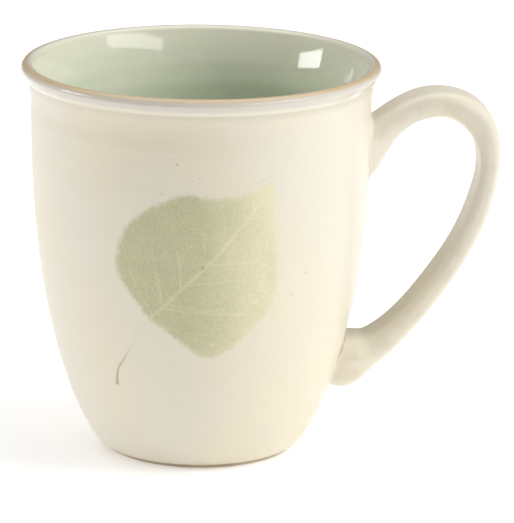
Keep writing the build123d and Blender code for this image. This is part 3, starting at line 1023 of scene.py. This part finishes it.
def smooth_path(path, count):
    """The same path as a smooth curve."""
    path = np.array(path, float)
    steps = np.concatenate([[0], np.cumsum(np.linalg.norm(np.diff(path, axis=0), axis=1))])
    at = np.linspace(0, steps[-1], count)
    if len(path) < 3:
        return np.stack([np.interp(at, steps, path[:, k]) for k in range(2)], -1)
    return np.stack([through(steps, path[:, k], at) for k in range(2)], -1)


def print_mesh(name, flat, faces, proud, inset, tone, vein):
    """A thin closed layer on the wall, from points in the leaf's own directions."""
    side, height = leaf_to_wall(flat[:, 0], flat[:, 1])
    margin = bpy.context.scene.mug_leaf.margin
    top = on_wall(side, height, proud * (1.5 * ease((inset + margin) / margin) - 0.5))
    under = on_wall(side, height, -0.1)
    count = len(flat)
    uses = {}
    for face in faces:
        for a, b in zip(face, face[1:] + face[:1]):
            uses[(a, b)] = True
    walls = [(b, a, a + count, b + count) for a, b in uses if (b, a) not in uses]
    back = [tuple(i + count for i in face[::-1]) for face in faces]
    mesh = mesh_of(name, np.concatenate([top, under]), list(faces) + back + walls)
    for label, values in (("inset", inset), ("tone", tone), ("vein", vein)):
        float_attribute(mesh, label, np.concatenate([values, values]))
    return mesh


def blade_mesh(name):
    sizes = bpy.context.scene.mug_leaf
    scale = np.array([sizes.length, sizes.half_width])
    left = smooth_path(np.array(LEFT_EDGE) * scale, 400)
    right = smooth_path(np.array(RIGHT_EDGE) * scale, 400)
    edge = np.concatenate([left, right[::-1][1:-1]])
    centre = np.array([0.42, -0.05]) * scale
    spokes, rings = 420, 84
    angles = np.linspace(-math.pi, math.pi, spokes, endpoint=False)
    polar = edge - centre
    order = np.argsort(np.arctan2(polar[:, 1], polar[:, 0]))
    bearing = np.arctan2(polar[:, 1], polar[:, 0])[order]
    radius = np.interp(angles, bearing, np.hypot(polar[:, 0], polar[:, 1])[order], period=2 * math.pi)
    ray = np.stack([np.cos(angles), np.sin(angles)], -1)
    flat = [centre[None]]
    for share in np.linspace(0, 1, rings)[1:]:
        flat.append(centre + ray * ((radius + sizes.margin) * share)[:, None])
    flat = np.concatenate(flat)
    faces = [(0, 1 + j, 1 + (j + 1) % spokes) for j in range(spokes)]
    faces += [tuple(1 + i for i in face) for face in grid_faces(rings - 1, spokes, True)]
    shares = np.linspace(0, 1, rings)[1:]
    reach = np.concatenate([[0], (shares[:, None] * (radius + sizes.margin)[None]).ravel()])
    outline = np.concatenate([[radius.mean()], np.tile(radius, rings - 1)])
    inside = np.where(reach <= outline, 1, -1)
    inset = inside * distance_to_path(flat, edge[::6])
    side, height = leaf_to_wall(flat[:, 0], flat[:, 1])
    front = (sizes.turn - math.pi / 2) * bpy.context.scene.mug_body.neck_radius
    across = side - front
    tone = 0.66 * ease((across + 5) / 24) + 0.12 * ease((-16 - across) / 8)
    tone += 0.30 * ease((flat[:, 0] - 36) / 14) + 0.15 * ease((40 - height) / 8)
    vein = np.zeros(len(flat))
    for width, strength, path in VEINS:
        gap = distance_to_path(flat, smooth_path(path, 24))
        vein = np.maximum(vein, strength * np.exp(-(gap / width)**2))
    return print_mesh(name, flat, faces, sizes.proud, inset, tone, vein)


STEM = ((-5.6, -0.4), (-8.5, -1.0), (-11.5, -1.4), (-15.0, -1.7), (-18.1, -1.9), (-20.2, -2.7), (-22.6, -4.1))


def stem_mesh(name):
    sizes = bpy.context.scene.mug_leaf
    count, across = 120, 13
    line = smooth_path(STEM, count)
    run = np.gradient(line, axis=0)
    run /= np.linalg.norm(run, axis=1)[:, None]
    normal = np.stack([-run[:, 1], run[:, 0]], -1)
    share = np.linspace(0, 1, count)
    half = 0.14 + 0.30 * share**1.5 + 0.12 * np.exp(-((share - 0.97) / 0.05)**2)
    spots = np.linspace(-1, 1, across)
    reach = half[:, None] + sizes.margin * 0.5
    flat = line[:, None] + normal[:, None] * (reach * spots)[..., None]
    inset = half[:, None] - np.abs(reach * spots)
    ends = np.minimum(share, 1 - share)[:, None] * 18
    inset = np.minimum(inset, ends - 0.2)
    tone = np.broadcast_to((0.75 * (1 - share)**1.2)[:, None], inset.shape)
    return print_mesh(name, flat.reshape(-1, 2), grid_faces(count, across, False), sizes.proud,
                      inset.ravel(), tone.ravel(), np.zeros(inset.size))


# ---------------------------------------------------------------- specks

# Larger iron specks: degrees round from +X, height and radius in mm. Then the count of small ones, their
# radii and heights in mm, and the angle either side of the handle that they keep clear of.
SPECKS = ((-102, 83.4, 0.30), (-103, 84.6, 0.18), (-94.4, 80.0, 0.24), (-107, 72.9, 0.2), (-118, 66.3, 0.26),
          (-54.8, 53.7, 0.24), (-60.5, 48.3, 0.18), (-131, 30, 0.2), (-70, 25, 0.22), (-85, 12, 0.2))
SMALL_SPECKS = 70
SPECK_RADII = 0.05, 0.11
SPECK_HEIGHTS = 6, 94
HANDLE_SIDE = 0.3


def speck_points():
    """Places, facings and sizes of the iron specks that have melted through the outside glaze."""
    draw = np.random.RandomState(11)
    rows = [(math.radians(a), z, r) for a, z, r in SPECKS]
    rows += [(draw.uniform(-math.pi, math.pi), draw.uniform(*SPECK_HEIGHTS), draw.uniform(*SPECK_RADII))
             for _ in range(SMALL_SPECKS)]
    places, facings, radii = [], [], []
    neck = bpy.context.scene.mug_body.neck_radius
    for angle, height, radius in rows:
        if abs(angle) < HANDLE_SIDE:
            continue
        spot = on_wall(np.array([angle * neck]), np.array([height]))[0]
        slope = float(wall_radius(height + 0.5) - wall_radius(height - 0.5))
        facing = Vector((math.cos(angle), math.sin(angle), -slope)).normalized()
        places.append(spot)
        facings.append(facing)
        radii.append(radius)
    return places, facings, radii


# ---------------------------------------------------------------- operators


class MUG_OT_clay(bpy.types.Operator):
    """Throw the clay body"""
    bl_idname = "mug.clay"
    bl_label = "Clay"

    def execute(self, context):
        piece = turn_piece("Clay_body", clay_section(), make_clay("Stoneware_clay"), closed=False)
        finish_piece(piece, bpy.data.materials["Stoneware_clay"], "stoneware_clay", "clay_body")
        return {"FINISHED"}


class MUG_OT_strap(bpy.types.Operator):
    """Clay strap and the slip that joins it to the body"""
    bl_idname = "mug.strap"
    bl_label = "Strap and slip joints"

    def execute(self, context):
        strap, upper, lower = strap_meshes()
        clay, slip = make_clay("Strap_clay"), make_slip()
        finish_piece(add_object("Handle_strap", strap), clay, "stoneware_clay", "handle_strap")
        finish_piece(add_object("Upper_slip_joint", upper), slip, "slip", "upper_slip_joint")
        finish_piece(add_object("Lower_slip_joint", lower), slip, "slip", "lower_slip_joint")
        return {"FINISHED"}


class MUG_OT_outside_glaze(bpy.types.Operator):
    """Cream glaze outside, glossy band under the lip, thin edge over it, and glaze under the base"""
    bl_idname = "mug.outside_glaze"
    bl_label = "Outside glazes"

    def execute(self, context):
        sizes = context.scene.mug_body
        cream = bpy.data.materials.get("Cream_glaze") or make_cream()
        wall = turn_piece("Outside_glaze", skin_section(GLAZE_LINE, BAND_LINE, sizes.glaze, no_bulge), cream)
        finish_piece(wall, cream, "cream_glaze", "outside_glaze")
        pale = make_lip("Lip_band_glaze")
        band = turn_piece("Lip_glaze_band", skin_section(BAND_LINE, LIP_SIDE, sizes.glaze, band_bulge), pale)
        finish_piece(band, pale, "lip_band_glaze", "lip_glaze_band")
        thin = make_lip("Rim_glaze")
        rim = turn_piece("Rim_glaze", lip_arc(0) + lip_arc(sizes.glaze)[::-1], thin)
        finish_piece(rim, thin, "rim_glaze", "rim_glaze")
        low = RECESS - sizes.glaze
        disc = [(0, low), (BASE_RADIUS - 0.4, low)] + arc((BASE_RADIUS - 0.3, RECESS - 0.1), 0.3, -90, 0, 6)
        disc += [(BASE_RADIUS, RECESS), (0, RECESS)]
        base = turn_piece("Base_glaze", disc, cream, closed=False)
        finish_piece(base, cream, "cream_glaze", "base_glaze")
        return {"FINISHED"}


class MUG_OT_inside_glaze(bpy.types.Operator):
    """Green liner glaze"""
    bl_idname = "mug.inside_glaze"
    bl_label = "Inside glaze"

    def execute(self, context):
        celadon = make_celadon()
        liner = turn_piece("Inside_glaze", liner_section(), celadon, closed=False)
        finish_piece(liner, celadon, "celadon_glaze", "inside_glaze")
        return {"FINISHED"}


class MUG_OT_handle_glaze(bpy.types.Operator):
    """Cream glaze over the strap, run onto the wall at both roots"""
    bl_idname = "mug.handle_glaze"
    bl_label = "Handle glaze"

    def execute(self, context):
        glaze = make_handle_glaze()
        piece = add_object("Handle_glaze", make_handle_mesh("Handle_glaze"))
        finish_piece(piece, glaze, "cream_glaze", "handle_glaze")
        return {"FINISHED"}


class MUG_OT_leaf_print(bpy.types.Operator):
    """Print of the leaf's blade and stem"""
    bl_idname = "mug.leaf_print"
    bl_label = "Leaf print"

    def execute(self, context):
        tones = context.scene.mug_colours
        ink = make_print("Leaf_print", tones.leaf, tones.leaf_pale, 1.0)
        blade = add_object("Leaf_blade_print", blade_mesh("Leaf_blade_print"))
        finish_piece(blade, ink, "leaf_print", "leaf_blade_print")
        brown = make_print("Stem_print", tones.stem, tones.cream_cool, 0.2)
        stem = add_object("Leaf_stem_print", stem_mesh("Leaf_stem_print"))
        finish_piece(stem, brown, "stem_print", "leaf_stem_print")
        return {"FINISHED"}


class MUG_OT_specks(bpy.types.Operator):
    """Iron specks melted through the outside glaze"""
    bl_idname = "mug.specks"
    bl_label = "Iron specks"

    def execute(self, context):
        places, facings, radii = speck_points()
        iron = make_speck()
        piece = add_object("Iron_specks", mesh_of("Iron_specks", places, []))
        piece.data.attributes.new("facing", "FLOAT_VECTOR", "POINT").data.foreach_set(
            "vector", np.array(facings).ravel())
        float_attribute(piece.data, "size", np.array(radii) * MM)
        grow(piece, bpy.data.node_groups["Iron specks"], {"Roundness": 2, "Flatness": 0.12, "Material": iron})
        for polygon in piece.data.polygons:
            polygon.use_smooth = True
        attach(piece, BODY)
        return {"FINISHED"}


# ---------------------------------------------------------------- stage


class MugStage(bpy.types.PropertyGroup):
    azimuth: bpy.props.FloatProperty(
        name="Azimuth", description="Camera round from the front", subtype="ANGLE", default=math.radians(-5))
    pitch: bpy.props.FloatProperty(
        name="Pitch", description="Camera above the horizon", subtype="ANGLE", default=math.radians(15.12))
    roll: bpy.props.FloatProperty(
        name="Roll", description="Camera roll", subtype="ANGLE", default=math.radians(0.641))
    distance: bpy.props.FloatProperty(
        name="Distance", description="Camera from its target", default=1.0857, unit="LENGTH")
    target_side: bpy.props.FloatProperty(
        name="Target side", description="Target right of the axis", default=0.01453, unit="LENGTH",
        precision=5)
    target_height: bpy.props.FloatProperty(
        name="Target height", description="Target above the table", default=0.04772, unit="LENGTH",
        precision=5)
    lens: bpy.props.FloatProperty(
        name="Lens", description="Focal length in mm on a 36 mm sensor", default=292.75)


# Soft lamps: name, place and size in metres, power in watts, and whether they show in the glaze
LAMPS = (
    ("Right_window", (0.86, -0.76, 0.72), (0.95, 0.22), 3.0, True),
    ("Left_window", (-1.15, 0.06, 0.42), (0.42, 0.15), 2.2, True),
    ("Overhead", (0.0, 0.25, 1.4), (1.8, 1.4), 11.5, True),
    ("Right_fill", (1.15, -0.25, 0.95), (0.8, 0.8), 12, False),
    ("Left_fill", (-1.15, 0.30, 0.40), (0.8, 0.8), 3, False))
LAMP_TARGET = (0.0, 0.0, 0.05)
STUDIO_TONE = (1.0, 0.99, 0.97, 1)
STUDIO_STRENGTH = 0.19
TABLE_HALF = 6.0


def aim(thing, place, target, roll=0.0):
    """Places a lamp or camera and turns it to look at its target."""
    away = (Vector(place) - Vector(target)).normalized()
    turn = away.to_track_quat("Z", "Y").to_matrix().to_4x4()
    thing.matrix_world = Matrix.Translation(place) @ turn @ Matrix.Rotation(roll, 4, "Z")


def soft_lamp(name, place, size, power, in_glaze):
    lamp = bpy.data.lights.new(name, "AREA")
    lamp.shape = "RECTANGLE"
    lamp.size, lamp.size_y = size
    lamp.energy = power
    holder = bpy.data.objects.new(name, lamp)
    bpy.context.scene.collection.objects.link(holder)
    aim(holder, place, LAMP_TARGET)
    holder.visible_glossy = in_glaze


class MUG_OT_stage(bpy.types.Operator):
    """Pale table, soft studio lights and camera"""
    bl_idname = "mug.stage"
    bl_label = "Stage"

    def execute(self, context):
        scene = context.scene
        stage = scene.mug_stage
        half = TABLE_HALF
        corners = [(-half, -half, 0), (half, -half, 0), (half, half, 0), (-half, half, 0)]
        mesh = bpy.data.meshes.new("Table")
        mesh.from_pydata(corners, [], [(0, 1, 2, 3)])
        mesh.materials.append(make_table())
        table = add_object("Table", mesh)

        world = bpy.data.worlds.new("Studio")
        world.use_nodes = True
        world.node_tree.nodes["Background"].inputs["Color"].default_value = STUDIO_TONE
        world.node_tree.nodes["Background"].inputs["Strength"].default_value = STUDIO_STRENGTH
        scene.world = world

        for lamp in LAMPS:
            soft_lamp(*lamp)

        right = Vector((math.cos(stage.azimuth), math.sin(stage.azimuth), 0))
        back = Vector((math.sin(stage.azimuth), -math.cos(stage.azimuth), 0))
        target = right * stage.target_side + Vector((0, 0, stage.target_height))
        away = back * math.cos(stage.pitch) + Vector((0, 0, math.sin(stage.pitch)))
        place = target + away * stage.distance
        camera = bpy.data.cameras.new("Camera")
        camera.lens = stage.lens
        camera.sensor_width = 36
        camera.sensor_fit = "AUTO"
        camera.clip_start = 0.01
        holder = bpy.data.objects.new("Camera", camera)
        scene.collection.objects.link(holder)
        aim(holder, place, target, stage.roll)
        scene.camera = holder
        scene.view_settings.view_transform = "Standard"
        return {"FINISHED"}


class MUG_PT_panel(bpy.types.Panel):
    bl_label = "Leaf print mug"
    bl_idname = "MUG_PT_panel"
    bl_space_type = "VIEW_3D"
    bl_region_type = "UI"
    bl_category = PANEL_TAB

    def draw(self, context):
        column = self.layout.column()
        for operator in OPERATORS:
            column.operator(operator.bl_idname)
        for group in (context.scene.mug_body, context.scene.mug_handle, context.scene.mug_leaf,
                      context.scene.mug_colours, context.scene.mug_stage):
            box = column.box()
            for label in group.bl_rna.properties.keys():
                if label not in {"rna_type", "name"}:
                    box.prop(group, label)


OPERATORS = (MUG_OT_clay, MUG_OT_inside_glaze, MUG_OT_outside_glaze, MUG_OT_strap, MUG_OT_handle_glaze,
             MUG_OT_leaf_print, MUG_OT_specks, MUG_OT_stage)
GROUPS = {"mug_body": MugBodySizes, "mug_handle": MugHandleSizes, "mug_leaf": MugLeafSizes,
          "mug_colours": MugColours, "mug_stage": MugStage}


def register():
    for group in GROUPS.values():
        bpy.utils.register_class(group)
    for name, group in GROUPS.items():
        setattr(bpy.types.Scene, name, bpy.props.PointerProperty(type=group))
    for operator in OPERATORS:
        bpy.utils.register_class(operator)
    bpy.utils.register_class(MUG_PT_panel)


def unregister():
    bpy.utils.unregister_class(MUG_PT_panel)
    for operator in reversed(OPERATORS):
        bpy.utils.unregister_class(operator)
    for name, group in GROUPS.items():
        delattr(bpy.types.Scene, name)
        bpy.utils.unregister_class(group)


def main():
    register()
    turned_tree()
    speck_tree()
    bpy.ops.mug.clay()
    bpy.ops.mug.outside_glaze()
    bpy.ops.mug.inside_glaze()
    bpy.ops.mug.strap()
    bpy.ops.mug.handle_glaze()
    bpy.ops.mug.leaf_print()
    bpy.ops.mug.specks()
    bpy.ops.mug.stage()


if __name__ == "__main__":
    main()
